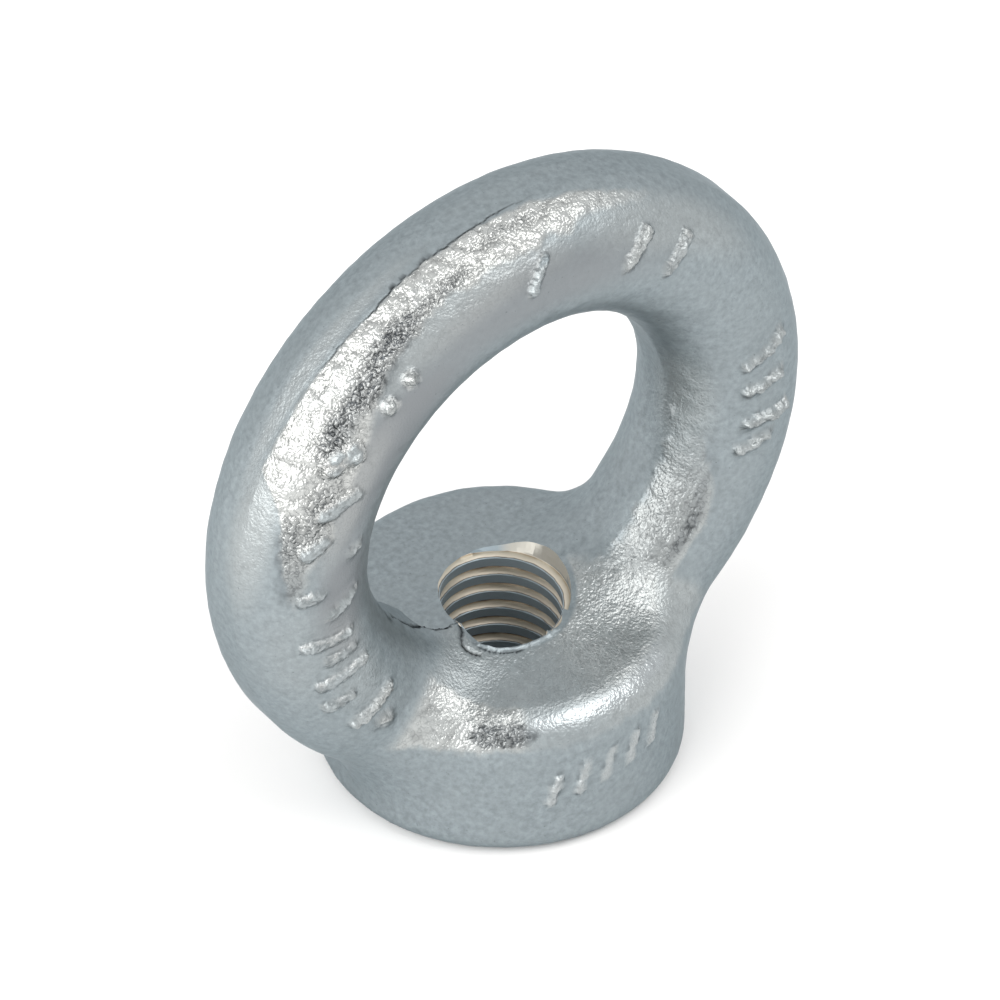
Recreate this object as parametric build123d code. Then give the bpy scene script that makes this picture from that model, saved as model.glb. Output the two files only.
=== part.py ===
from build123d import *

import os
from math import radians, tan

# Lifting eye nut, M10: a round eye on a round collar, drop forged in one piece.
#
# Millimetres. The origin is on the thread's axis at the seating face, +Z points up through
# the eye, and the eye lies in the XZ plane, so its opening runs along Y. The two halves of
# the forging die meet at Y = 0. The front half, at -Y, keeps its forged skin. The back half,
# at +Y, was sheared when the flash was trimmed, which left it a level top and flat lands.

# Collar
COLLAR_DIAMETER = 25.0
BACK_TOP_HEIGHT = 12.65   # the sheared top, level
FRONT_TOP_HEIGHT = 12.4   # where the forged top would meet the thread's axis
FRONT_TOP_SLOPE = 6.0     # degrees, the forged top falls away from the axis
TOP_EDGE_RADIUS = 2.2
SEAT_EDGE_RADIUS = 1.5

# Eye
EYE_CENTRE_HEIGHT = 24.75
EYE_CENTRE_LINE_RADIUS = 18.2
BAR_DIAMETER = 10.9
OUTER_LAND_DEPTH = 0.25   # what the trimming took off the outside of the bar
INNER_LAND_DEPTH = 0.2    # and off its inside
LEG_BLEND_RADIUS = 2.2    # where the legs run out into the collar

# Thread, M10 x 1.5: the bore is the thread's minor diameter
THREAD_MINOR_DIAMETER = 8.376
TOP_COUNTERSINK_DIAMETER = 9.2
SEAT_COUNTERSINK_DIAMETER = 10.6

# Trimming die
DIE_CLEARANCE = 0.3       # round the collar, which it doesn't cut

COLLAR_RADIUS = COLLAR_DIAMETER / 2
BAR_RADIUS = BAR_DIAMETER / 2
THREAD_MINOR_RADIUS = THREAD_MINOR_DIAMETER / 2
EYE_OUTER_RADIUS = EYE_CENTRE_LINE_RADIUS + BAR_RADIUS
EYE_INNER_RADIUS = EYE_CENTRE_LINE_RADIUS - BAR_RADIUS


def collar(top_height, top_slope):
    """The collar, turned about Z: its top falls by top_slope degrees from top_height."""
    edge_height = top_height - COLLAR_RADIUS * tan(radians(top_slope))
    half_section = make_face(
        Polyline((0, 0), (COLLAR_RADIUS, 0), (COLLAR_RADIUS, edge_height), (0, top_height), close=True)
    )
    rim = half_section.vertices().filter_by(lambda v: v.X > COLLAR_RADIUS / 2).sort_by(Axis.Y)
    half_section = fillet(rim[-1], TOP_EDGE_RADIUS)
    return revolve(Plane.XZ * half_section, Axis.Z)


def eye():
    """The round bar of the eye, standing on edge."""
    return Pos(0, 0, EYE_CENTRE_HEIGHT) * Rot(90, 0, 0) * Torus(EYE_CENTRE_LINE_RADIUS, BAR_RADIUS)


def forging(top_height, top_slope):
    """Collar and eye in one, with a blend all round each leg."""
    body = collar(top_height, top_slope) + eye()
    joints = body.edges().filter_by(GeomType.BSPLINE)
    joints = joints.filter_by(lambda e: SEAT_EDGE_RADIUS < e.center().Z < EYE_CENTRE_HEIGHT)
    return fillet(joints, LEG_BLEND_RADIUS)


def thread_bore():
    """The tapping drill's path with a countersink at the mouth of each end."""
    reach = EYE_CENTRE_HEIGHT - EYE_INNER_RADIUS + BAR_RADIUS
    drill = Cylinder(THREAD_MINOR_RADIUS, 2 * reach)
    at_seat = countersink(0, SEAT_COUNTERSINK_DIAMETER, -1)
    at_top = countersink(BACK_TOP_HEIGHT, TOP_COUNTERSINK_DIAMETER, 1)
    return drill + at_seat + at_top


def countersink(height, diameter, direction):
    """A 90 degree countersink that measures diameter at height and opens in direction along Z."""
    tip = height - direction * diameter / 2
    length = diameter
    cone = Cone(0, length, length, align=(Align.CENTER, Align.CENTER, Align.MIN))
    turned = cone if direction > 0 else Rot(180, 0, 0) * cone
    return Pos(0, 0, tip) * turned


def back_of(plan, depth):
    """A plan drawn in the XZ plane, pushed back along +Y from the parting plane."""
    return extrude(Plane.XZ * plan, -depth)


def outer_scrap():
    """What the trimming die shears off outside: all but the eye and the collar's outline."""
    land_radius = EYE_OUTER_RADIUS - OUTER_LAND_DEPTH
    half_width = COLLAR_RADIUS + DIE_CLEARANCE
    keep = Pos(0, EYE_CENTRE_HEIGHT) * Circle(land_radius)
    keep += Rectangle(2 * half_width, 2 * BACK_TOP_HEIGHT)
    corners = keep.vertices().filter_by(lambda v: 0 < v.Y < EYE_CENTRE_HEIGHT)
    keep = fillet(corners, LEG_BLEND_RADIUS)
    sheet = Pos(0, EYE_CENTRE_HEIGHT) * Circle(2 * land_radius)
    return back_of(sheet - keep, BAR_RADIUS)


def inner_scrap():
    """What the punch shears out of the eye, down to the collar's level top."""
    land_radius = EYE_INNER_RADIUS + INNER_LAND_DEPTH
    punch = Pos(0, EYE_CENTRE_HEIGHT) * Circle(land_radius)
    down = (Align.CENTER, Align.MAX)
    below = Pos(0, BACK_TOP_HEIGHT) * Rectangle(4 * land_radius, 2 * land_radius, align=down)
    return back_of(punch - below, BAR_RADIUS)


def eye_nut():
    """The front half as forged and the trimmed back half, turned at the seat and bored."""
    front = split(forging(FRONT_TOP_HEIGHT, FRONT_TOP_SLOPE), Plane.XZ, keep=Keep.TOP)
    back = split(forging(BACK_TOP_HEIGHT, 0), Plane.XZ, keep=Keep.BOTTOM)
    nut = front + (back - outer_scrap() - inner_scrap())
    seat_edge = nut.edges().group_by(Axis.Z)[0]
    nut = fillet(seat_edge, SEAT_EDGE_RADIUS)
    return nut - thread_bore()


def main():
    os.makedirs("parts", exist_ok=True)
    nut = eye_nut()
    box = nut.bounding_box()
    print(f"solids {len(nut.solids())}, faces {len(nut.faces())}, valid {nut.is_valid}")
    print(f"size {box.size.X:.2f} x {box.size.Y:.2f} x {box.size.Z:.2f}, volume {nut.volume:.0f}")
    export_step(nut, "parts/eye_nut.step")


main()
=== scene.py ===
"""A drop-forged, zinc-plated lifting eye nut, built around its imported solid.

The forging's skin is worked out from the die's own forms: a round eye, a turned collar and the
blends between them. It then gets what the forging, trimming, tapping and plating leave on a real one.
"""

import math

import bmesh
import bpy
import numpy as np
from mathutils import Matrix, Vector, noise


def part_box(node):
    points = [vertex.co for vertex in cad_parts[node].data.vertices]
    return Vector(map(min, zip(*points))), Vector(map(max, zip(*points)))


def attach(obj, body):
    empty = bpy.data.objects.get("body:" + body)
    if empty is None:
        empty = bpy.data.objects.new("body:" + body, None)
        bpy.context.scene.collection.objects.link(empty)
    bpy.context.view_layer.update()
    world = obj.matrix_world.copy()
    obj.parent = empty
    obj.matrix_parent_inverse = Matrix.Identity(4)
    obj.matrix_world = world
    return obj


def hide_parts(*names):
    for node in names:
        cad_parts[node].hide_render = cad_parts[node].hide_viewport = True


bl_info = {
    "name": "Lifting eye nut",
    "version": (1, 0, 0),
    "blender": (4, 5, 0),
    "location": "3D View > Sidebar > Eye nut",
    "description": "Builds a drop-forged, zinc-plated lifting eye nut around its packed solid",
    "category": "Object",
}

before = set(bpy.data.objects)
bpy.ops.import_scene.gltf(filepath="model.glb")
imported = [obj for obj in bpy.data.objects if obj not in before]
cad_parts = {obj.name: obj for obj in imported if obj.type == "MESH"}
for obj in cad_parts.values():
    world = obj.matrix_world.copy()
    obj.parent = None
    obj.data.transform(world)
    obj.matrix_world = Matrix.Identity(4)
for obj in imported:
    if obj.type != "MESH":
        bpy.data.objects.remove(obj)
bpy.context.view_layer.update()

MM = 0.001
NODE = "eye_nut"

# The forging's own sizes in millimetres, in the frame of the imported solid.
LOW_CORNER, HIGH_CORNER = (np.array(corner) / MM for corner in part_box(NODE))
EYE_OUTER_RADIUS = (HIGH_CORNER[0] - LOW_CORNER[0]) / 2
COLLAR_RADIUS = (HIGH_CORNER[1] - LOW_CORNER[1]) / 2
EYE_CENTRE_HEIGHT = HIGH_CORNER[2] - EYE_OUTER_RADIUS
BAR_RADIUS = 5.45
EYE_LINE_RADIUS = EYE_OUTER_RADIUS - BAR_RADIUS
LAND_DEPTH = 0.12
OUTER_LAND_RADIUS = EYE_OUTER_RADIUS - LAND_DEPTH
INNER_LAND_RADIUS = EYE_LINE_RADIUS - BAR_RADIUS + LAND_DEPTH
LAND_HALF_WIDTH = 1.35
BACK_TOP_HEIGHT = 12.65
FRONT_TOP_HEIGHT = 12.4
FRONT_TOP_SLOPE = 6.0
BACK_EDGE_RADIUS = 2.2
FRONT_EDGE_RADIUS = 2.8
SEAT_EDGE_RADIUS = 1.5
BACK_LEG_BLEND = 2.2
FRONT_LEG_BLEND = 3.0
# How far the level top reaches to the left of the bore's middle, in front of the parting face.
TRIMMED_TOP_REACH = 7.6
# What belongs to the collar's top is looked for below this height.
COLLAR_TOP_LIMIT = 17
THREAD_PITCH = 1.5
THREAD_MINOR_RADIUS = 4.188
# The groove's root, a little short of a full thread's.
THREAD_MAJOR_RADIUS = 4.74
# The tap's path, from below the seat to above the collar.
TAP_LOW = -3.0
TAP_HIGH = 16.0
# The countersink in the seat, as radius and height.
SEAT_CHAMFER = ((5.9, -0.6), (5.3, 0.0), (4.0, 1.3))
# The plug that fills the bore while the skin is made, just short of the seat and of the collar's top.
PLUG = ((5.6, 0.02), (5.6, 11.7))
# ragged works its noise out this far to both sides of the line's start.
RAGGED_REACH = 80


# ---------------------------------------------------------------- small tools


def linear(hex_colour):
    """An sRGB hex colour as a linear colour with alpha."""
    channels = [int(hex_colour[i : i + 2], 16) / 255 for i in (1, 3, 5)]
    return [c / 12.92 if c <= 0.04045 else ((c + 0.055) / 1.055) ** 2.4 for c in channels] + [1.0]


def smooth_step(low, high, value):
    """0 below low, 1 above high, and an even curve between."""
    t = np.clip((value - low) / (high - low), 0, 1)
    return t * t * (3 - 2 * t)


def lumps(points, size, offset=0.0):
    """Even noise from -1 to 1 whose lumps are about size millimetres across."""
    shift = Vector((offset, -offset, 0.5 * offset))
    return np.array([noise.noise(Vector(p) / size + shift) for p in points])


def folds(points, size, offset=0.0):
    """Noise from 0, along sharp creases, to 1, on the rounded lumps between them."""
    return np.minimum(1, 2.2 * np.abs(lumps(points, size, offset)))


def line_distance(across, along, line):
    """How far places are from a line through given points, all in millimetres."""
    nearest = np.full(len(across), 1e9)
    for (ax, ay), (bx, by) in zip(line, line[1:]):
        dx, dy = bx - ax, by - ay
        share = np.clip(((across - ax) * dx + (along - ay) * dy) / (dx * dx + dy * dy), 0, 1)
        nearest = np.minimum(nearest, np.hypot(across - ax - share * dx, along - ay - share * dy))
    return nearest


def ragged(along, size, offset=0.0):
    """The same noise along one line, for edges that shearing leaves uneven."""
    grid = np.arange(-RAGGED_REACH, RAGGED_REACH, size / 6)
    heights = [noise.noise(Vector((g / size + offset, offset, 0.3))) for g in grid]
    return np.interp(along, grid, heights)


# ---------------------------------------------------------------- the die's forms


def blend(a, b, radius):
    """The union of two distances with a round fillet between them."""
    return np.maximum(radius, np.minimum(a, b)) - np.hypot(
        np.maximum(radius - a, 0), np.maximum(radius - b, 0)
    )


def rounded(a, b, radius):
    """The common part of two distances with a rounded edge."""
    return np.minimum(-radius, np.maximum(a, b)) + np.hypot(
        np.maximum(radius + a, 0), np.maximum(radius + b, 0)
    )


def eye_radius(points):
    """How far a point is from the eye's own axis."""
    return np.hypot(points[:, 0], points[:, 2] - EYE_CENTRE_HEIGHT)


def reach_of(points):
    """How far each point is from the thread's axis."""
    return np.hypot(points[:, 0], points[:, 1])


def azimuth_of(points):
    """Each point's turn about the thread's axis from +X, in degrees."""
    return np.degrees(np.arctan2(points[:, 1], points[:, 0]))


def front_turn(points):
    """Each point's turn about the thread's axis from the collar's front to the right, in degrees."""
    return np.degrees(np.arctan2(points[:, 0], -points[:, 1]))


def die_half(points, back):
    """Distance from the skin that one half of the die leaves, with the flash trimmed off."""
    across = reach_of(points)
    from_axis = eye_radius(points)
    bar = np.hypot(from_axis - EYE_LINE_RADIUS, points[:, 1]) - BAR_RADIUS
    trimmed = np.maximum(from_axis - OUTER_LAND_RADIUS, INNER_LAND_RADIUS - from_axis)
    if back:
        bar = np.maximum(bar, trimmed)
        top = points[:, 2] - BACK_TOP_HEIGHT
        edge, leg = BACK_EDGE_RADIUS, BACK_LEG_BLEND
    else:
        bar = np.where(points[:, 1] > -LAND_HALF_WIDTH, np.maximum(bar, trimmed), bar)
        slope = math.radians(FRONT_TOP_SLOPE)
        top = (points[:, 2] - FRONT_TOP_HEIGHT) * math.cos(slope) + across * math.sin(slope)
        edge, leg = FRONT_EDGE_RADIUS, FRONT_LEG_BLEND
    side = across - COLLAR_RADIUS
    whole = blend(bar, rounded(side, top, edge), leg)
    seat = rounded(np.maximum(side, whole), -points[:, 2], SEAT_EDGE_RADIUS)
    return np.where(points[:, 2] < SEAT_EDGE_RADIUS, seat, whole)


def parting(points):
    """How far a point is behind the die's parting face, which the trimming leaves a little uneven."""
    ring, _ = ring_place(points)
    return points[:, 1] + 0.12 * ragged(ring / 3, 2.5, 7.0)


def trim_line(points):
    """How far a point is behind the ragged edge of the trimmed top of the collar."""
    across = points[:, 0]
    wobble = 0.35 * ragged(across, 1.3, 3.0) + 0.18 * ragged(across, 0.45, 5.0)
    left_of_bore = 1 - smooth_step(-4.4, -3.9, across)
    return points[:, 1] + 0.9 * left_of_bore + wobble


def skin(points):
    """Distance from the forging's skin."""
    formed = np.where(parting(points) < 0, die_half(points, False), die_half(points, True))
    side = np.abs(points[:, 0] + 0.5 * TRIMMED_TOP_REACH) - 0.5 * TRIMMED_TOP_REACH
    sheared = np.maximum(np.maximum(-trim_line(points), side), BACK_TOP_HEIGHT - points[:, 2])
    low = points[:, 2] < COLLAR_TOP_LIMIT
    return np.where(low, np.maximum(formed, -sheared), formed)


def slope_of(points, distance, step=0.02):
    """The direction in which the distance grows."""
    sides = [
        distance(points + step * axis) - distance(points - step * axis) for axis in np.eye(3)
    ]
    found = np.stack(sides, axis=1)
    return found / np.maximum(np.linalg.norm(found, axis=1, keepdims=True), 1e-9)


def settle(points, rounds=6):
    """Moves points onto the forging's skin."""
    for _ in range(rounds):
        points = points - slope_of(points, skin) * skin(points)[:, None]
    return points


# ---------------------------------------------------------------- what the forging left on the skin, and where shade and a highlight are painted

# Worn ribs raised on the eye: ring angle, section angle, length, width, tilt from the ring's run and how
# far they stand out.
EYE_RIBS = (
    (-98.5, 83, 4.4, 0.95, 93, 0.36),
    (-104.0, 90, 2.9, 0.90, 96, 0.33),
    (-110.0, 87, 4.6, 1.00, 92, 0.40),
    (-116.5, 74, 2.6, 0.95, 95, 0.36),
    (-125.0, 90, 4.4, 1.05, 92, 0.42),
    (-85.5, 71, 2.2, 1.10, 70, 0.38),
    (-89.5, 97, 3.2, 0.90, 60, 0.32),
    (-73.8, 67, 2.8, 1.20, 42, 0.32),
    (-74.5, 101, 1.6, 1.00, 30, 0.32),
    (-63.6, 74, 4.0, 1.25, 41, 0.34),
    (-54.5, 60, 3.6, 1.50, 24, 0.32),
    (-2.7, 67, 3.2, 0.80, -49, 0.42),
    (21.6, 71, 3.8, 1.10, -56, 0.36),
    (33.0, 74, 3.8, 1.10, -66, 0.36),
    (77.0, 86, 4.2, 0.85, -103, 0.50),
    (85.7, 92, 3.4, 0.85, -99, 0.48),
    (94.9, 88, 4.2, 0.90, -94, 0.52),
    (101.8, 97, 3.0, 0.85, -115, 0.46),
)
# Round worn bosses on the eye: ring angle, section angle, radius and how far they stand out.
EYE_BOSSES = (
    (-130.8, 87, 1.15, 0.33),
    (-41.4, 68, 0.95, 0.60),
    (-34.8, 67, 0.90, 0.55),
    (-52.8, 68, 1.00, 0.40),
)
# Worn ribs raised on the collar's side: turn from the front, height of the middle, length, width, tilt
# and how far they stand out.
COLLAR_RIBS = (
    (-20.0, 5.6, 2.8, 0.7, 74, 0.26),
    (-10.5, 6.1, 2.8, 0.7, 74, 0.30),
    (-1.0, 6.4, 2.8, 0.7, 74, 0.26),
    (8.5, 6.8, 2.8, 0.7, 74, 0.32),
    (18.0, 7.1, 2.8, 0.7, 74, 0.28),
)
# A crack beside the bore, in plan.
CRACK = (
    (-4.55, -1.4), (-4.75, -1.9), (-5.2, -2.4), (-5.5, -2.9), (-5.5, -3.3), (-5.2, -3.7), (-4.9, -4.0),
)
# The rim that the tap left at the bore's mouth, where it broke the thread's last crest away: turn about the
# bore, the rim's radius and height, and the height at which the whole crest is still there.
MOUTH = (
    (-170, 4.7, 13.0, 13.0), (-163, 4.7, 12.8, 12.4), (-157, 4.85, 12.8, 11.9), (-148, 5.15, 12.6, 11.8),
    (-142, 5.38, 12.45, 11.8), (-135, 5.34, 12.25, 11.8), (-128, 5.25, 12.1, 11.8), (-120, 5.1, 12.0, 11.8),
    (-112, 4.9, 12.0, 11.85), (-102, 4.75, 12.0, 11.92), (-92, 4.72, 12.1, 12.05), (-78, 4.7, 12.4, 12.4),
    (-60, 4.7, 12.9, 12.9), (-50, 4.7, 12.35, 12.2), (-32, 4.72, 12.65, 12.25), (-17, 4.78, 13.0, 12.32),
    (-7, 4.86, 13.15, 12.36), (2, 4.95, 13.4, 12.38), (12, 5.05, 13.4, 12.42), (22, 5.15, 13.3, 12.47),
    (32, 5.3, 13.1, 12.5), (43, 5.25, 12.85, 12.5), (55, 5.0, 12.7, 12.45), (66, 4.98, 12.65, 12.5),
    (77, 4.85, 12.65, 12.58), (90, 4.7, 13.0, 13.0),
)
# How far a rib's edge runs out, and the height that the ribs on the collar's side stay under.
RIB_EDGE = 0.15
COLLAR_SIDE_TOP = 10
# How far the marks of the trimming and the tapping stand out of the skin or go into it.
LIP_HEIGHT = 0.08
TEAR_DEPTH = 0.14
CRACK_DEPTH = 0.14
BURR_HEIGHT = 0.09
SHADOW_DEPTH = 0.1
FLASH_HEIGHT = 0.12
UNDERCUT_DEPTH = 0.07
# The section angle of the line where the flash was trimmed off the eye's inside.
FLASH_SECTION = 161
# The crinkled bands on the eye: ring angle, section angles of their two edges, share.
ROUGH_BAND = (
    (-92, 62, 66, 0.0), (-80, 48, 72, 0.7), (-73, 40, 80, 0.9), (-68, 33, 82, 1.0), (-65, 20, 82, 1.0),
    (-63, 9, 82, 1.0), (-50, 10, 75, 1.0), (-45, 11, 68, 1.0), (-38, 12, 60, 1.0), (-31, 12, 52, 1.0),
    (-20, 11, 49, 1.0), (-9, 12, 51, 1.0), (0, 14, 50, 1.0), (9, 19, 47, 0.9), (18, 25, 42, 0.7),
    (30, 30, 40, 0.0), (86, 145, 152, 0.0), (98, 136, 160, 0.2), (107, 127, 164, 0.35),
    (116, 115, 163, 0.5), (122, 111, 163, 0.6), (136, 111, 162, 0.6), (150, 113, 160, 0.42),
)
# Faintly rough places on the eye: ring and section angle, their spread, share.
FAINT_SPOTS = (
    ((-74, 18), (22, 26), 0.35),
    ((-45, 1), (34, 11), 0.3),
    ((-62, 80), (24, 22), 0.35),
    ((-20, 55), (36, 24), 0.35),
    ((30, 52), (30, 30), 0.3),
    ((-110, 95), (24, 34), 0.2),
    ((-100, 60), (20, 40), 0.12),
    ((88, 152), (26, 34), 0.3),
)
# Greyer places on the eye, in the same terms.
GREY_SPOTS = (
    ((-50, 88), (46, 38), 1.0),
    ((-5, 78), (46, 36), 0.8),
    ((-88, 98), (26, 34), 1.0),
)
# Places on the eye where the creases are darkened with painted shade, in the same terms.
DARK_SPOTS = (
    ((-50, 47), (9, 14), 1.0),
    ((-41, 47), (10, 16), 1.0),
    ((-32, 39), (11, 15), 1.0),
    ((-21, 37), (10, 10), 0.6),
    ((-57, 58), (8, 12), 0.3),
    ((-67, 63), (11, 16), 0.6),
    ((-74, 47), (8, 13), 0.7),
    ((-81, 54), (9, 14), 0.6),
    ((-4, 26), (10, 8), 0.3),
    ((128, 121), (14, 8), 0.9),
    ((117, 125), (11, 7), 0.7),
    ((124, 136), (32, 28), 0.35),
)


def ring_place(points):
    """Each point's angle round the eye from its top, and round the bar from its outside to its front."""
    ring = np.degrees(np.arctan2(points[:, 0], points[:, 2] - EYE_CENTRE_HEIGHT))
    section = np.degrees(np.arctan2(-points[:, 1], eye_radius(points) - EYE_LINE_RADIUS))
    return ring, section


def spot(ring, section, centre, spread):
    """1 at a place on the eye, falling evenly to 0 over the spread, all in degrees."""
    away = np.hypot((ring - centre[0]) / spread[0], (section - centre[1]) / spread[1])
    return 1 - smooth_step(0.3, 1.0, away)


def rib(along, across, length, width, tilt):
    """1 on a straight rib with round ends and 0 off it, from distances to its middle."""
    turn = math.radians(tilt)
    run = along * math.cos(turn) + across * math.sin(turn)
    off = across * math.cos(turn) - along * math.sin(turn)
    distance = np.hypot(np.maximum(np.abs(run) - (length - width) / 2, 0), off)
    uneven = 0.12 * ragged(run, 0.6, 15.0) + 0.1 * ragged(run, 0.25, 16.0)
    return 1 - smooth_step(0.1 * width, 0.5 * width + RIB_EDGE, distance + uneven)


def on_eye(points):
    """1 on the eye's own skin, 0 on the collar."""
    bar = np.hypot(eye_radius(points) - EYE_LINE_RADIUS, points[:, 1]) - BAR_RADIUS
    return 1 - smooth_step(0.05, 0.4, bar)


def eye_offsets(points, ring_at, section_at):
    """How far each point is from a place on the eye, along the ring and round the bar, in millimetres."""
    ring, section = ring_place(points)
    reach = EYE_LINE_RADIUS + BAR_RADIUS * math.cos(math.radians(section_at))
    return np.radians(ring - ring_at) * reach, np.radians(section - section_at) * BAR_RADIUS


def ribs(points):
    """How far the worn ribs and bosses stand out of the skin."""
    height = np.zeros(len(points))
    for ring_at, section_at, length, width, tilt, rise in EYE_RIBS:
        along, across = eye_offsets(points, ring_at, section_at)
        height = np.maximum(height, rise * rib(along, across, length, width, tilt))
    for ring_at, section_at, radius, rise in EYE_BOSSES:
        away = np.hypot(*eye_offsets(points, ring_at, section_at)) / radius
        height = np.maximum(height, rise * (1 - smooth_step(0.0, 1.0, away)))
    height *= on_eye(points)
    turn = front_turn(points)
    on_side = smooth_step(COLLAR_RADIUS - 0.5, COLLAR_RADIUS - 0.1, reach_of(points))
    on_side *= points[:, 2] < COLLAR_SIDE_TOP
    for turn_at, height_at, length, width, tilt, rise in COLLAR_RIBS:
        along = np.radians(turn - turn_at) * COLLAR_RADIUS
        across = points[:, 2] - height_at
        height = np.maximum(height, rise * on_side * rib(along, across, length, width, tilt))
    return height


def spots(points, table):
    """The strongest of several spots on the eye at each point."""
    ring, section = ring_place(points)
    share = np.zeros(len(points))
    for centre, spread, strength in table:
        share = np.maximum(share, strength * spot(ring, section, centre, spread))
    return share


def mouth_rim(turn):
    """The mouth's rim at a turn about the bore: radius, height and where the whole crest ends."""
    azimuths, *columns = zip(*MOUTH)
    return [np.interp(turn, azimuths, values, period=360) for values in columns]


def outside_mouth(points):
    """How far a point is outside the rim of the bore's mouth."""
    return reach_of(points) - mouth_rim(azimuth_of(points))[0]


def eye_crinkle(points):
    """How crinkled the eye's skin is: in its bands, which end at ragged edges, and faintly round them."""
    ring, section = ring_place(points)
    rings, lows, highs, shares = zip(*ROUGH_BAND)
    uneven = 4 * ragged(ring * 0.35, 1.5, 9.0) + 2 * ragged(ring * 0.35, 0.6, 13.0)
    low = np.interp(ring, rings, lows) + 0.5 * uneven
    high = np.interp(ring, rings, highs) + 1.5 * uneven
    band = smooth_step(-0.5, 2.5, section - low) * smooth_step(-1, 9, high - section)
    lap, ends = overlap(points)
    band *= 1 - ends * (1 - smooth_step(0.0, 0.1, lap))
    return np.maximum(np.interp(ring, rings, shares) * band, spots(points, FAINT_SPOTS))


def collar_crinkle(points):
    """How crinkled the collar is: its forged top, more to the right, and most of all its left rim."""
    across, turn = reach_of(points), front_turn(points)
    uneven = 0.35 * ragged(turn / 5, 1.0) + 0.15 * ragged(turn / 5, 0.3)
    high_up = smooth_step(9.0, 9.5, points[:, 2] + uneven)
    left_rim = smooth_step(9.7, 10.3, across + uneven) * smooth_step(-24, -32, turn)
    left_rim *= smooth_step(-76, -66, turn)
    edge = smooth_step(10.3, 10.9, across) * smooth_step(-30, -22, turn)
    slope = 0.27 + 0.35 * smooth_step(-15, 20, turn)
    share = np.maximum(slope * (1 - 0.3 * edge), 0.8 * left_rim) * high_up
    share *= smooth_step(0.0, 0.6, -trim_line(points)) * smooth_step(0.3, 0.5, outside_mouth(points))
    return share


def crinkle(points):
    """Where the skin was squeezed last and stayed crinkled: 0 where it is smooth, up to 1."""
    share = on_eye(points)
    return share * eye_crinkle(points) + (1 - share) * collar_crinkle(points)


def rim_highlight(points):
    """Where the collar's front rim gets a painted highlight, a lighter colour, and a glossier finish, up to
    1.
    """
    across, turn = reach_of(points), front_turn(points)
    rim = smooth_step(10.7, 11.1, across + 0.2 * ragged(turn / 5, 0.6))
    rim *= smooth_step(10.0, 10.5, points[:, 2])
    return rim * smooth_step(-30, -22, turn) * smooth_step(44, 30, turn) * (1 - on_eye(points))


def deep_shaded_creases(points):
    """Where the creases between the lumps are deep and darkened with painted shade, up to 1."""
    turn = front_turn(points)
    place = np.hypot((turn + 37) / 14, (points[:, 2] - 10.15) / 0.75)
    rim = 1 - smooth_step(0.6, 1.0, place + 0.3 * ragged(turn / 5, 0.8, 2.0))
    share = on_eye(points)
    return share * spots(points, DARK_SPOTS) + (1 - share) * rim * (points[:, 1] < 0)


def overlap(points):
    """How far a point is from the line of painted shade where the trimmed band laps over the rough skin."""
    ring, section = ring_place(points)
    line = 12.2 + 2.2 * ragged(ring * 0.4, 1.6, 11.0) + 1.3 * ragged(ring * 0.4, 0.5, 12.0)
    ends = smooth_step(-46, -38, ring) * smooth_step(6, -6, ring)
    return np.radians(section - line) * BAR_RADIUS, ends * on_eye(points)


def mouth_damage(points):
    """The crack beside the bore, the burr on its rim and the dark line along the burr, each up to 1."""
    across, along = points[:, 0], points[:, 1]
    turn = azimuth_of(points)
    top = smooth_step(11.2, 11.6, points[:, 2]) * smooth_step(13.6, 13.2, points[:, 2])
    uneven = 0.08 * ragged(across + along, 0.5, 4.0)
    crack = (1 - smooth_step(0.02, 0.16, line_distance(across, along, CRACK) + uneven)) * top
    outside = outside_mouth(points) + 0.5 * uneven
    front = smooth_step(-150, -140, turn) * smooth_step(-70, -84, turn) * top
    burr = smooth_step(0.24, 0.08, outside) * front * (0.8 + 0.6 * ragged(turn / 12, 0.4, 6.0))
    shadow = (1 - smooth_step(0.01, 0.1, np.abs(outside - 0.3))) * smooth_step(-150, -142, turn)
    shadow *= smooth_step(-98, -112, turn) * top
    return crack, burr, shadow


def tear(points):
    """The tear along the trimmed top's edge, left of the bore, and the lip over it, each up to 1."""
    across = points[:, 0]
    edge = np.abs(trim_line(points) + 0.1)
    near = smooth_step(-12.4, -11.4, across) * (across < -4.2) * (points[:, 2] < COLLAR_TOP_LIMIT)
    near *= smooth_step(11.9, 12.2, points[:, 2])
    torn = (1 - smooth_step(0.1, 0.25, edge)) * near
    lip = smooth_step(0.5, 0.15, edge) * near * np.maximum(0, ragged(across, 0.9, 8.0)) * 2
    return torn, np.minimum(lip, 1)


def flash(points):
    """The line where the flash was trimmed off inside: dark on the left leg and raised on the right."""
    ring, section = ring_place(points)
    off_line = np.radians(np.abs(section) - FLASH_SECTION) * BAR_RADIUS
    off_line = np.abs(off_line + 0.25 * ragged(ring * 0.23, 0.8, 5.0))
    line = (1 - smooth_step(0.03, 0.14, off_line)) * on_eye(points) * (section > 0)
    left = smooth_step(-134, -126, ring) * smooth_step(-88, -96, ring)
    right = smooth_step(84, 92, ring) * np.maximum(0, 0.6 + ragged(ring * 0.23, 0.7, 6.0))
    return line * left, line * right


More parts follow.
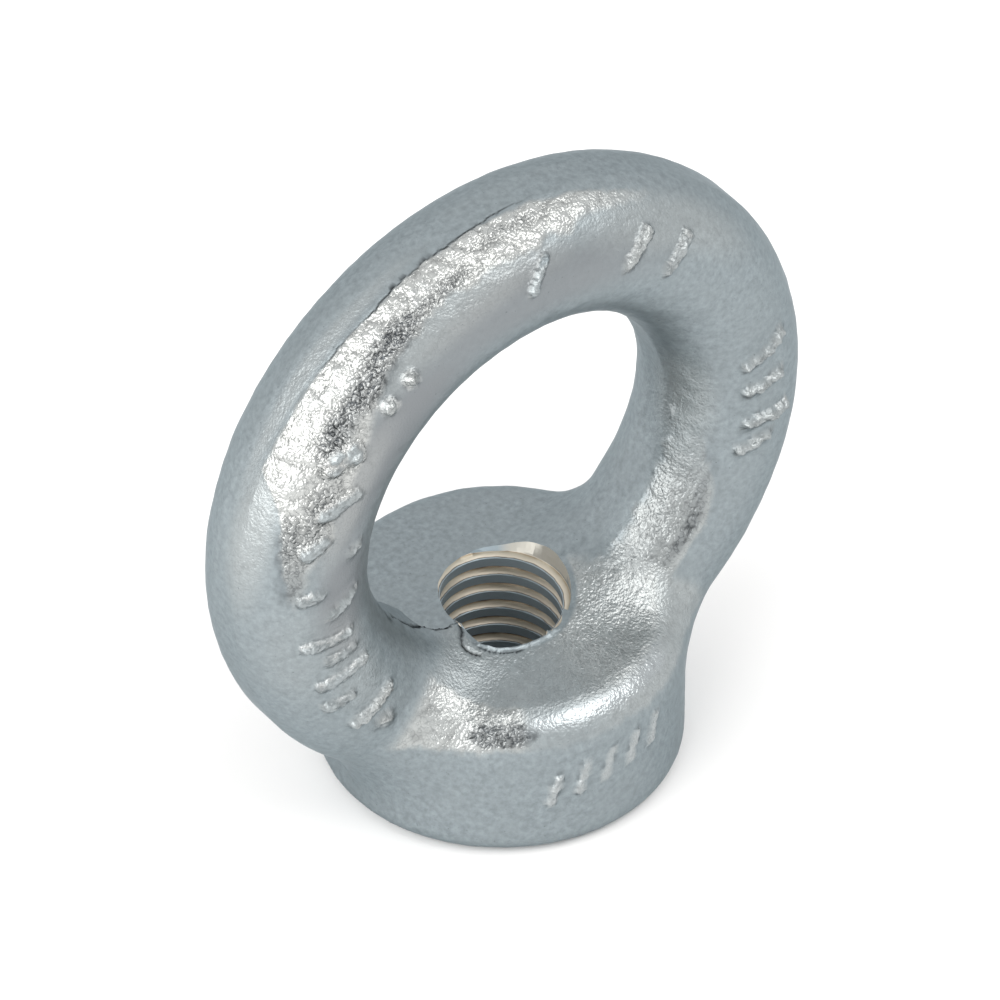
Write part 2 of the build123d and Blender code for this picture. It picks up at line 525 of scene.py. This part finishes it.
def seams(points):
    """How far cracks, laps and the tap's burr change the skin, and how dark each place of them is painted:
    painted shade in the crack, the tear, the lap and along the burr, and a dark line on the left flash.
    """
    crack, burr, shadow = mouth_damage(points)
    torn, lip = tear(points)
    dark_flash, raised_flash = flash(points)
    lap, ends = overlap(points)
    ring, _ = ring_place(points)
    ends *= 0.65 + 0.7 * ragged(ring * 0.4, 2.5, 3.0)
    undercut = (1 - smooth_step(0.0, 0.16, np.abs(lap - 0.03))) * ends
    height = LIP_HEIGHT * lip - TEAR_DEPTH * torn - CRACK_DEPTH * crack + BURR_HEIGHT * burr
    height += FLASH_HEIGHT * raised_flash - SHADOW_DEPTH * shadow - UNDERCUT_DEPTH * undercut
    line = (1 - smooth_step(0.01, 0.1, np.abs(lap))) * np.clip(ends * 1.3, 0, 1)
    return height, np.max([crack, shadow, line, torn, 0.8 * dark_flash], axis=0)


def relief(points):
    """How far the skin stands out of the die's form at each point, in millimetres."""
    trimmed = smooth_step(LAND_HALF_WIDTH + 0.3, LAND_HALF_WIDTH - 0.2, np.abs(points[:, 1]))
    rough = crinkle(points)
    eye = on_eye(points)
    height = 0.05 * lumps(points, 6.0, 1.0) + 0.02 * lumps(points, 2.2, 2.0)
    height += 0.035 * lumps(points, 1.1, 3.0) * (1 - 0.8 * trimmed * eye)
    height += rough**1.6 * (0.03 + 0.11 * eye) * (folds(points, 1.7, 4.0) - 0.4)
    height += rough**1.4 * (0.05 + 0.05 * eye) * (folds(points, 0.8, 5.0) - 0.4)
    marks = ribs(points)
    marks = marks * (1 + 0.5 * lumps(points, 0.9, 6.0) + 0.35 * (folds(points, 0.4, 7.0) - 0.4))
    return height + marks + seams(points)[0]


def fineness(points):
    """How often the mesh is divided at each point, 0 to 2, so that its small forms keep their shape."""
    on_land = np.abs(np.abs(points[:, 1]) - LAND_HALF_WIDTH + 0.1) < 0.35
    mouth = (reach_of(points) < 6.6) & (points[:, 2] > 11)
    torn = (np.abs(trim_line(points)) < 0.5) & (points[:, 2] > 12) & (points[:, 2] < COLLAR_TOP_LIMIT)
    lap, ends = overlap(points)
    marks = ribs(points) > 0.02
    once = (crinkle(points) > 0.08) | (on_land & (on_eye(points) > 0.5)) | mouth | torn | marks
    height, dark = seams(points)
    twice = marks | (dark > 0.02) | (np.abs(height) > 0.02) | ((np.abs(lap) < 0.3) & (ends > 0.1))
    return once.astype(int) + (once & twice)


# ---------------------------------------------------------------- meshes


def mesh_object(name, points, faces):
    """A new object from points in millimetres and faces."""
    mesh = bpy.data.meshes.new(name)
    mesh.from_pydata([tuple(p) for p in np.asarray(points) * MM], [], faces)
    mesh.update()
    made = bpy.data.objects.new(name, mesh)
    bpy.context.scene.collection.objects.link(made)
    return made


def vertex_array(mesh):
    """A mesh's points in millimetres."""
    flat = np.empty(len(mesh.vertices) * 3)
    mesh.vertices.foreach_get("co", flat)
    return flat.reshape(-1, 3) / MM


def place_vertices(mesh, points):
    """Puts a mesh's points where they are given, in millimetres."""
    mesh.vertices.foreach_set("co", (points * MM).ravel())
    mesh.update()


def lathe(name, profile, steps=96):
    """A turned solid from (radius, height) points, closed on its axis at both ends."""
    turns = [2 * math.pi * i / steps for i in range(steps)]
    points = [(r * math.cos(t), r * math.sin(t), z) for r, z in profile for t in turns]
    faces = []
    for row in range(len(profile) - 1):
        for i in range(steps):
            j = (i + 1) % steps
            low, high = row * steps, (row + 1) * steps
            faces.append((low + i, low + j, high + j, high + i))
    points += [(0, 0, profile[0][1]), (0, 0, profile[-1][1])]
    last = (len(profile) - 1) * steps
    faces += [(len(points) - 2, (i + 1) % steps, i) for i in range(steps)]
    faces += [(len(points) - 1, last + i, last + (i + 1) % steps) for i in range(steps)]
    return mesh_object(name, points, faces)


def tap(name, low, high, steps=96):
    """A tap's solid: one right-hand helical ridge on a core, from low to high."""
    flank = (THREAD_MAJOR_RADIUS - THREAD_MINOR_RADIUS) * math.tan(math.radians(30))
    root = THREAD_PITCH / 8
    # The ridge's section: places along the axis, each with its share of the ridge's height.
    rows = [
        (0.0, 0.0),
        (0.5 * flank, 0.5),
        (0.88 * flank, 0.9),
        (flank + 0.05, 1.0),
        (flank + root - 0.05, 1.0),
        (root + 1.12 * flank, 0.9),
        (root + 1.5 * flank, 0.5),
        (root + 2 * flank, 0.0),
    ]
    turns = int((high - low) / THREAD_PITCH)
    points = []
    for i in range(steps):
        angle = 2 * math.pi * i / steps
        for turn in range(turns):
            for offset, share in rows:
                z = low + THREAD_PITCH * (turn + i / steps) + offset
                r = THREAD_MINOR_RADIUS + share * (THREAD_MAJOR_RADIUS - THREAD_MINOR_RADIUS)
                points.append((r * math.cos(angle), r * math.sin(angle), z))
    count = turns * len(rows)
    faces = []
    for i in range(steps):
        here = i * count
        there = (i + 1) * count if i < steps - 1 else len(rows)
        for n in range(count - 1 if i < steps - 1 else count - 1 - len(rows)):
            faces.append((here + n, there + n, there + n + 1, here + n + 1))
    bottom = [i * count for i in range(steps)] + list(range(len(rows), 0, -1))
    top = [i * count + count - 1 for i in range(steps)]
    top += [(steps - 1) * count + count - 1 - k for k in range(1, len(rows) + 1)]
    points += [(0, 0, low - 1), (0, 0, low + THREAD_PITCH * (turns + 1) + 1)]
    lowest, highest = len(points) - 2, len(points) - 1
    faces += [(lowest, b, a) for a, b in zip(bottom, bottom[1:] + bottom[:1])]
    faces += [(highest, a, b) for a, b in zip(top, top[1:] + top[:1])]
    return mesh_object(name, points, faces)


def mouth_cutter(name):
    """The solid that breaks the thread's last crest away under the mouth's uneven rim."""
    made = lathe(name, [(3.0, 0.0), (4.0, 1.0), (4.0, 2.0)])
    points = vertex_array(made.data)
    turn = azimuth_of(points)
    rim, top, whole = mouth_rim(turn)
    # The three rows of the blank stand at heights 0, 1 and 2, with a point on the axis at both ends.
    row = np.round(points[:, 2]).astype(int)
    on_wall = reach_of(points) > 1
    in_groove = np.full_like(rim, THREAD_MAJOR_RADIUS - 0.02)
    radius = np.choose(row, (in_groove, rim, rim + 0.1)) * on_wall
    points[:, 0] = radius * np.cos(np.radians(turn))
    points[:, 1] = radius * np.sin(np.radians(turn))
    points[:, 2] = np.where(on_wall, np.choose(row, (whole, top, top + 2.5)), 13.0 + 1.5 * row)
    place_vertices(made.data, points)
    return made


def apply_modifiers(target):
    """Turns a piece's modifiers into its mesh."""
    graph = bpy.context.evaluated_depsgraph_get()
    made = bpy.data.meshes.new_from_object(target.evaluated_get(graph))
    old = target.data
    target.modifiers.clear()
    target.data = made
    bpy.data.meshes.remove(old)


def joined(name, parts):
    """One object from several, whose meshes are in the same frame."""
    together = bmesh.new()
    for part in parts:
        together.from_mesh(part.data)
    mesh = bpy.data.meshes.new(name)
    together.to_mesh(mesh)
    together.free()
    for part in parts:
        bpy.data.objects.remove(part)
    made = bpy.data.objects.new(name, mesh)
    bpy.context.scene.collection.objects.link(made)
    return made


def cut(target, tool):
    """Cuts a closed tool out of the target and removes the tool."""
    change = target.modifiers.new("cut", "BOOLEAN")
    change.operation = "DIFFERENCE"
    change.solver = "MANIFOLD"
    change.object = tool
    apply_modifiers(target)
    bpy.data.objects.remove(tool)


# Cut steel that turns by more than this has a sharp edge.
SHARP_ANGLE = math.radians(35)


def sharpen_edges(mesh):
    """Smooth shading, with sharp edges where the cut steel starts and where it turns."""
    mesh.shade_smooth()
    work = bmesh.new()
    work.from_mesh(mesh)
    for edge in work.edges:
        slots = {face.material_index for face in edge.link_faces}
        turned = len(edge.link_faces) == 2 and edge.calc_face_angle() > SHARP_ANGLE
        edge.smooth = not (len(slots) > 1 or (slots == {1} and turned))
    work.to_mesh(mesh)
    work.free()


def mark_places(mesh):
    """Writes what each place looks like, for the materials to read."""
    points = vertex_array(mesh)
    reach = reach_of(points)
    turn = azimuth_of(points)
    depth = (reach - THREAD_MINOR_RADIUS) / (THREAD_MAJOR_RADIUS - THREAD_MINOR_RADIUS)
    rubbed = smooth_step(-40, -25, turn) * smooth_step(58, 44, turn) * (points[:, 2] > 12.4)
    at_mouth = (reach > THREAD_MAJOR_RADIUS - 0.05) & (points[:, 2] > 11.9)
    chamfer = (points[:, 2] < 0.9) | at_mouth
    rough = crinkle(points)
    deep_shaded_share = deep_shaded_creases(points)
    stands = ribs(points)
    foot = 0.3 * smooth_step(0.01, 0.05, stands) * smooth_step(0.16, 0.07, stands)
    # Painted shade in the creases between the lumps, and deeper painted shade in the deep creases.
    creases = 0.35 * rough**1.5 * (1 - smooth_step(0.0, 0.3, folds(points, 1.7, 4.0)))
    dark_creases = 0.8 * deep_shaded_share * (1 - smooth_step(0.02, 0.3, folds(points, 0.8, 5.0)))
    for name, values in (
        ("crinkle", rough),
        ("deep_shaded_creases", deep_shaded_share),
        ("seam_and_crease_shade", np.max([seams(points)[1], creases, foot, dark_creases], axis=0)),
        ("grey", spots(points, GREY_SPOTS) * on_eye(points)),
        ("worn", smooth_step(0.05, 0.26, stands) * (0.4 + 0.6 * on_eye(points))),
        # The collar's front rim, lightened there as a painted highlight.
        ("rim_highlight", rim_highlight(points)),
        ("thread_depth", np.where(chamfer, 0.0, np.clip(depth, 0, 1))),
        ("rubbed", chamfer * rubbed),
    ):
        written = mesh.attributes.new(name, "FLOAT", "POINT")
        written.data.foreach_set("value", values.astype(np.float32))


def even_mesh(target, spacing):
    """Gives a solid an even mesh."""
    change = target.modifiers.new("even", "REMESH")
    change.mode = "VOXEL"
    change.voxel_size = spacing
    apply_modifiers(target)


def divide(target, level):
    """Divides the mesh's faces where its small forms need it."""
    wanted = fineness(vertex_array(target.data)) >= level
    work = bmesh.new()
    work.from_mesh(target.data)
    edges = [e for e in work.edges if wanted[e.verts[0].index] and wanted[e.verts[1].index]]
    bmesh.ops.subdivide_edges(work, edges=edges, cuts=1, use_grid_fill=True)
    bmesh.ops.triangulate(work, faces=[face for face in work.faces if len(face.verts) > 4])
    work.to_mesh(target.data)
    work.free()


def filled_forging(spacing):
    """The forging before it is bored, as an even mesh that lies on the die's forms."""
    solid = bpy.data.objects.new("solid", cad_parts[NODE].data.copy())
    bpy.context.scene.collection.objects.link(solid)
    plug = lathe("plug", PLUG)
    blank = joined("forged_eye_nut", [solid, plug])
    even_mesh(blank, spacing)
    place_vertices(blank.data, settle(vertex_array(blank.data), 3))
    even_mesh(blank, spacing)
    place_vertices(blank.data, settle(vertex_array(blank.data), 4))
    for level in (1, 2):
        divide(blank, level)
        place_vertices(blank.data, settle(vertex_array(blank.data), 2))
    return blank


# ---------------------------------------------------------------- materials


def add_node(tree, kind, settings=None, links=None):
    """Adds a node, sets its properties and inputs, and links its inputs from other nodes' outputs."""
    made = tree.nodes.new(kind)
    for name, value in (settings or {}).items():
        if isinstance(name, str) and hasattr(made, name):
            setattr(made, name, value)
        else:
            made.inputs[name].default_value = value
    for name, source in (links or {}).items():
        tree.links.new(source, made.inputs[name])
    return made


def forged_zinc(colour):
    """Zinc plate on a shot-blasted forging: a blue-grey satin, bright where worn, with painted shade in its
    creases and a painted highlight on the collar's front rim.
    """
    material = bpy.data.materials.new("zinc_plated_forged_steel")
    material.use_nodes = True
    tree = material.node_tree
    shader = tree.nodes["Principled BSDF"]
    shader.inputs["Metallic"].default_value = 0.85
    shader.inputs["Specular Tint"].default_value = linear("#c4ccd0")
    where = add_node(tree, "ShaderNodeTexCoord").outputs["Object"]
    crinkled, deep_shaded, seam_and_crease_shade, worn, grey, rim_highlight_share = (
        add_node(tree, "ShaderNodeAttribute", {"attribute_name": name}).outputs["Fac"]
        for name in ("crinkle", "deep_shaded_creases", "seam_and_crease_shade", "worn", "grey", "rim_highlight")
    )
    # The blasted grain, the squeezed lumps, the plate's bloom and its stains, by size in millimetres.
    grain, lumpy, bloom, stains = (
        add_node(
            tree, "ShaderNodeTexNoise", {"Scale": 1 / (size * MM), "Detail": detail, "Roughness": 0.6},
            {"Vector": where},
        ).outputs["Fac"]
        for size, detail in ((0.21, 1.0), (0.46, 1.0), (0.45, 3.0), (3.5, 3.0))
    )
    # Lumps with sharp creases between them, from the distance of the noise to its middle.
    middle = add_node(tree, "ShaderNodeMath", {"operation": "SUBTRACT", 1: 0.5}, {0: lumpy}).outputs[0]
    apart = add_node(tree, "ShaderNodeMath", {"operation": "ABSOLUTE"}, {0: middle}).outputs[0]
    lump = add_node(
        tree, "ShaderNodeMapRange", {"From Min": 0.0, "From Max": 0.23, "To Min": 0.0, "To Max": 1.0},
        {"Value": apart},
    ).outputs["Result"]
    rough = add_node(tree, "ShaderNodeMath", {"operation": "MAXIMUM"}, {0: crinkled, 1: worn}).outputs[0]
    squeezed = add_node(tree, "ShaderNodeMath", {"operation": "POWER", 1: 1.7}, {0: rough}).outputs[0]
    squeezed = add_node(
        tree, "ShaderNodeMath", {"operation": "MULTIPLY"}, {0: squeezed, 1: lump}
    ).outputs[0]
    # The grain stands about 0.02 mm high on smooth skin, 0.07 mm on rough skin and 0.12 mm on the ribs.
    blasted = add_node(
        tree, "ShaderNodeMath", {"operation": "MULTIPLY_ADD", 1: -0.075, 2: 0.12}, {0: rough}
    ).outputs[0]
    blasted = add_node(
        tree, "ShaderNodeMath", {"operation": "MULTIPLY_ADD", 2: 0.022}, {0: blasted, 1: rough}
    ).outputs[0]
    blasted = add_node(
        tree, "ShaderNodeMath", {"operation": "MULTIPLY_ADD", 1: 0.05}, {0: worn, 2: blasted}
    ).outputs[0]
    blasted = add_node(
        tree, "ShaderNodeMath", {"operation": "MULTIPLY"}, {0: blasted, 1: grain}
    ).outputs[0]
    # The lumps stand 0.04 mm high, and 0.12 mm where the creases between them are deep.
    deep = add_node(
        tree, "ShaderNodeMath", {"operation": "MULTIPLY_ADD", 1: 0.075, 2: 0.042}, {0: deep_shaded}
    ).outputs[0]
    height = add_node(
        tree, "ShaderNodeMath", {"operation": "MULTIPLY_ADD"}, {0: squeezed, 1: deep, 2: blasted}
    ).outputs[0]
    bump = add_node(tree, "ShaderNodeBump", {"Strength": 1.0, "Distance": MM}, {"Height": height})
    tree.links.new(bump.outputs["Normal"], shader.inputs["Normal"])
    # The plate's own colour, a little uneven.
    tone = add_node(tree, "ShaderNodeValToRGB", None, {"Fac": bloom})
    for end, position, brightness in ((0, 0.3, 0.83), (1, 0.7, 1.17)):
        tone.color_ramp.elements[end].position = position
        tone.color_ramp.elements[end].color = [brightness * c for c in linear(colour)[:3]] + [1]
    cloud = add_node(
        tree, "ShaderNodeMapRange", {"From Min": 0.35, "From Max": 0.65, "To Min": 0.0, "To Max": 0.35},
        {"Value": stains},
    ).outputs["Result"]
    pits = add_node(
        tree, "ShaderNodeMapRange", {"From Min": 0.27, "From Max": 0.2, "To Min": 0.0, "To Max": 0.5},
        {"Value": grain},
    ).outputs["Result"]
    creased = add_node(
        tree, "ShaderNodeMapRange", {"From Min": 0.24, "From Max": 0.02, "To Min": 0.0, "To Max": 1.0},
        {"Value": lump},
    ).outputs["Result"]
    crease_shade = add_node(
        tree, "ShaderNodeMath", {"operation": "MULTIPLY_ADD", 1: 0.65, 2: 0.32}, {0: deep_shaded}
    ).outputs[0]
    for other in (rough, creased):
        crease_shade = add_node(tree, "ShaderNodeMath", {"operation": "MULTIPLY"}, {0: crease_shade, 1: other}).outputs[0]
    # Each place's other colours, from the widest to the smallest: where, how much of it, and its colour.
    shade = tone.outputs["Color"]
    for share, most, other in (
        (cloud, 1.0, "#8d9598"),
        (grey, 1.0, "#83878a"),
        (crinkled, 0.9, "#bdbfbd"),
        (worn, 0.9, "#d2d3d1"),
        # A painted highlight: the collar's front rim in a lighter colour.
        (rim_highlight_share, 0.45, "#b4babd"),
        (pits, 1.0, "#50575b"),
        # Painted shade in the creases between the lumps, strongest where they are deep.
        (crease_shade, 1.0, "#303438"),
        # Painted shade over the deep creases.
        (deep_shaded, 0.5, "#474c51"),
        # Painted shade along the cracks, tears, laps and creases.
        (seam_and_crease_shade, 1.0, "#26292b"),
    ):
        share = add_node(tree, "ShaderNodeMath", {"operation": "MULTIPLY", 1: most}, {0: share}).outputs[0]
        mix = add_node(
            tree, "ShaderNodeMix", {"data_type": "RGBA", 7: linear(other)}, {0: share, 6: shade}
        )
        shade = mix.outputs[2]
    tree.links.new(shade, shader.inputs["Base Color"])
    sheen = add_node(
        tree, "ShaderNodeMath", {"operation": "MULTIPLY_ADD", "use_clamp": True},
        {0: crinkled, 1: crinkled, 2: rim_highlight_share},
    )
    gloss = add_node(
        tree, "ShaderNodeMath", {"operation": "MULTIPLY_ADD", 1: -0.17, 2: 0.41}, {0: sheen.outputs[0]}
    )
    tree.links.new(gloss.outputs[0], shader.inputs["Roughness"])
    return material


def cut_zinc(colour):
    """Zinc plate on tapped steel: slate crests with a painted shadow along their edges, pale flanks, and
    brown painted shade darkening into the roots.
    """
    material = bpy.data.materials.new("zinc_plated_cut_steel")
    material.use_nodes = True
    tree = material.node_tree
    shader = tree.nodes["Principled BSDF"]
    shader.inputs["Metallic"].default_value = 0.6
    shader.inputs["Roughness"].default_value = 0.4
    depth = add_node(tree, "ShaderNodeAttribute", {"attribute_name": "thread_depth"}).outputs["Fac"]
    where = add_node(tree, "ShaderNodeTexCoord").outputs["Object"]
    flat = add_node(tree, "ShaderNodeMapping", {"Scale": (0.25, 0.25, 1.0)}, {"Vector": where})
    streaks = add_node(
        tree, "ShaderNodeTexNoise", {"Scale": 1 / (0.25 * MM), "Detail": 2.0},
        {"Vector": flat.outputs["Vector"]},
    ).outputs["Fac"]
    uneven = add_node(
        tree, "ShaderNodeMapRange", {"From Min": 0.3, "From Max": 0.7, "To Min": -0.06, "To Max": 0.06},
        {"Value": streaks},
    ).outputs["Result"]
    level = add_node(tree, "ShaderNodeMath", {"operation": "ADD"}, {0: depth, 1: uneven}).outputs[0]
    shades = add_node(tree, "ShaderNodeValToRGB", None, {"Fac": level})
    ramp = shades.color_ramp
    # From crest to root: slate, a painted shadow line under the crest's edge, pale flank, the thread's
    # colour, then browner and darker into the root as painted shade.
    ramp.elements[0].color = linear("#94a1a8")
    ramp.elements[1].color = linear("#4a4036")
    for share, shade in (
        (0.07, "#94a1a8"),
        (0.14, "#4a4038"),
        (0.24, "#cfc7b8"),
        (0.7, colour),
        (0.9, "#8d7f6b"),
    ):
        ramp.elements.new(share).color = linear(shade)
    rubbed = add_node(tree, "ShaderNodeAttribute", {"attribute_name": "rubbed"}).outputs["Fac"]
    mix = add_node(
        tree, "ShaderNodeMix", {"data_type": "RGBA", 7: linear("#c9c6bd")},
        {0: rubbed, 6: shades.outputs["Color"]},
    )
    tree.links.new(mix.outputs[2], shader.inputs["Base Color"])
    bump = add_node(
        tree, "ShaderNodeBump", {"Strength": 1.0, "Distance": 0.02 * MM}, {"Height": streaks}
    )
    tree.links.new(bump.outputs["Normal"], shader.inputs["Normal"])
    return material


# ---------------------------------------------------------------- settings


class ForgingSettings(bpy.types.PropertyGroup):
    """What a user may change on the nut."""

    voxel: bpy.props.FloatProperty(
        name="Mesh spacing", description="Size of the skin's faces", default=0.00042, unit="LENGTH"
    )
    zinc: bpy.props.StringProperty(
        name="Zinc", description="Colour of the plated forging", default="#8d969a"
    )
    thread: bpy.props.StringProperty(
        name="Thread", description="Colour of the plated thread", default="#aaa393"
    )


class StageSettings(bpy.types.PropertyGroup):
    """The floor, the lamps and the camera."""

    azimuth: bpy.props.FloatProperty(
        name="Azimuth", description="Camera's turn about the nut", default=math.radians(-37.22),
        subtype="ANGLE",
    )
    elevation: bpy.props.FloatProperty(
        name="Elevation", description="Camera's angle above the floor", default=math.radians(41.10),
        subtype="ANGLE",
    )
    roll: bpy.props.FloatProperty(
        name="Roll", description="Camera's turn about its own axis", default=math.radians(0.43),
        subtype="ANGLE",
    )
    distance: bpy.props.FloatProperty(
        name="Distance", description="From the camera to the nut", default=2.5, unit="LENGTH"
    )
    lens: bpy.props.FloatProperty(
        name="Lens", description="Focal length in millimetres", default=1332.0
    )


# ---------------------------------------------------------------- operators


class EYENUT_OT_forging(bpy.types.Operator):
    """Build the forged and tapped nut"""

    bl_idname = "eyenut.forging"
    bl_label = "Forging"

    def execute(self, context):
        sizes = context.scene.eye_nut_forging
        nut = filled_forging(sizes.voxel)
        flat = vertex_array(nut.data)
        points = flat + slope_of(flat, skin) * relief(flat)[:, None]
        place_vertices(nut.data, np.clip(points, LOW_CORNER, HIGH_CORNER))
        cut_steel = cut_zinc(sizes.thread)
        forged = forged_zinc(sizes.zinc)
        nut.data.materials.append(forged)
        nut.data.materials.append(cut_steel)
        for tool in (
            tap("tap", TAP_LOW, TAP_HIGH),
            lathe("seat_chamfer", SEAT_CHAMFER),
            mouth_cutter("mouth_cutter"),
        ):
            tool.data.materials.append(forged)
            tool.data.materials.append(cut_steel)
            tool.data.polygons.foreach_set("material_index", [1] * len(tool.data.polygons))
            cut(nut, tool)
        sharpen_edges(nut.data)
        mark_places(nut.data)
        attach(nut, "root")
        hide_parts(NODE)
        return {"FINISHED"}


# The point that the camera and the lamps are aimed at, in metres.
AIM = Vector((-0.0001, 0.0001, 0.02111))
# The soft lamps: turn from the front and angle above the floor in degrees, distance from the nut and
# size of the face in metres, how bright the face is, colour.
LAMPS = (
    ("left_box", -80, 27, 0.5, (0.52, 0.48), 3.0, "#fffcf9"),
    ("top_box", 32, 53, 0.5, (0.38, 0.26), 2.9, "#fffcf9"),
)
FLOOR_RADIUS = 3000.0
FLOOR_THICKNESS = 2.0


def direction(azimuth, elevation):
    """The way from the nut at a turn from its front and an angle above the floor."""
    level = math.cos(elevation)
    return Vector((math.sin(azimuth) * level, -math.cos(azimuth) * level, math.sin(elevation)))


def soft_lamp(name, azimuth, elevation, distance, size, radiance, colour):
    """A soft lamp with a rectangular face, turned towards the nut."""
    data = bpy.data.lights.new(name, "AREA")
    data.shape = "RECTANGLE"
    data.size, data.size_y = size
    data.energy = radiance * math.pi * size[0] * size[1]
    data.color = linear(colour)[:3]
    lamp = bpy.data.objects.new(name, data)
    back = direction(math.radians(azimuth), math.radians(elevation))
    lamp.location = AIM + back * distance
    lamp.rotation_euler = back.to_track_quat("Z", "Y").to_euler()
    bpy.context.scene.collection.objects.link(lamp)


def studio_camera(settings):
    """The camera, from its angles."""
    back = direction(settings.azimuth, settings.elevation)
    right = Vector((math.cos(settings.azimuth), math.sin(settings.azimuth), 0))
    up = back.cross(right)
    roll = settings.roll
    across = math.cos(roll) * right + math.sin(roll) * up
    upright = math.cos(roll) * up - math.sin(roll) * right
    data = bpy.data.cameras.new("camera")
    data.lens = settings.lens
    data.sensor_width = 36.0
    data.clip_end = 20.0
    camera = bpy.data.objects.new("camera", data)
    turn = Matrix((across, upright, back)).transposed()
    camera.matrix_world = Matrix.Translation(AIM + back * settings.distance) @ turn.to_4x4()
    bpy.context.scene.collection.objects.link(camera)
    bpy.context.scene.camera = camera


class EYENUT_OT_stage(bpy.types.Operator):
    """Set the floor, the lamps and the camera"""

    bl_idname = "eyenut.stage"
    bl_label = "Stage"

    def execute(self, context):
        scene = context.scene
        scene.view_settings.view_transform = "Standard"
        studio_camera(scene.eye_nut_stage)
        floor = lathe("floor", [(FLOOR_RADIUS, -FLOOR_THICKNESS), (FLOOR_RADIUS, 0.0)])
        paper = bpy.data.materials.new("white_paper")
        paper.use_nodes = True
        shader = paper.node_tree.nodes["Principled BSDF"]
        shader.inputs["Base Color"].default_value = linear("#f0f0f0")
        shader.inputs["Specular IOR Level"].default_value = 0.0
        floor.data.materials.append(paper)
        world = bpy.data.worlds.new("studio")
        world.use_nodes = True
        scene.world = world
        tree = world.node_tree
        tree.nodes["Background"].inputs["Strength"].default_value = 1.0
        tree.nodes["Background"].inputs["Color"].default_value = (1, 1, 1, 1)
        for lamp in LAMPS:
            soft_lamp(*lamp)
        return {"FINISHED"}


class EYENUT_PT_panel(bpy.types.Panel):
    """The nut's pieces and sizes"""

    bl_label = "Eye nut"
    bl_idname = "EYENUT_PT_panel"
    bl_space_type = "VIEW_3D"
    bl_region_type = "UI"
    bl_category = "Eye nut"

    def draw(self, context):
        for group in (context.scene.eye_nut_forging, context.scene.eye_nut_stage):
            for name in group.__annotations__:
                self.layout.prop(group, name)
        for operator in (EYENUT_OT_forging, EYENUT_OT_stage):
            self.layout.operator(operator.bl_idname)


CLASSES = (
    ForgingSettings,
    StageSettings,
    EYENUT_OT_forging,
    EYENUT_OT_stage,
    EYENUT_PT_panel,
)


def register():
    for cls in CLASSES:
        bpy.utils.register_class(cls)
    bpy.types.Scene.eye_nut_forging = bpy.props.PointerProperty(type=ForgingSettings)
    bpy.types.Scene.eye_nut_stage = bpy.props.PointerProperty(type=StageSettings)


def unregister():
    del bpy.types.Scene.eye_nut_stage
    del bpy.types.Scene.eye_nut_forging
    for cls in reversed(CLASSES):
        bpy.utils.unregister_class(cls)


def main():
    """Builds the pieces in order."""
    register()
    bpy.ops.eyenut.forging()
    bpy.ops.eyenut.stage()


if __name__ == "__main__":
    main()
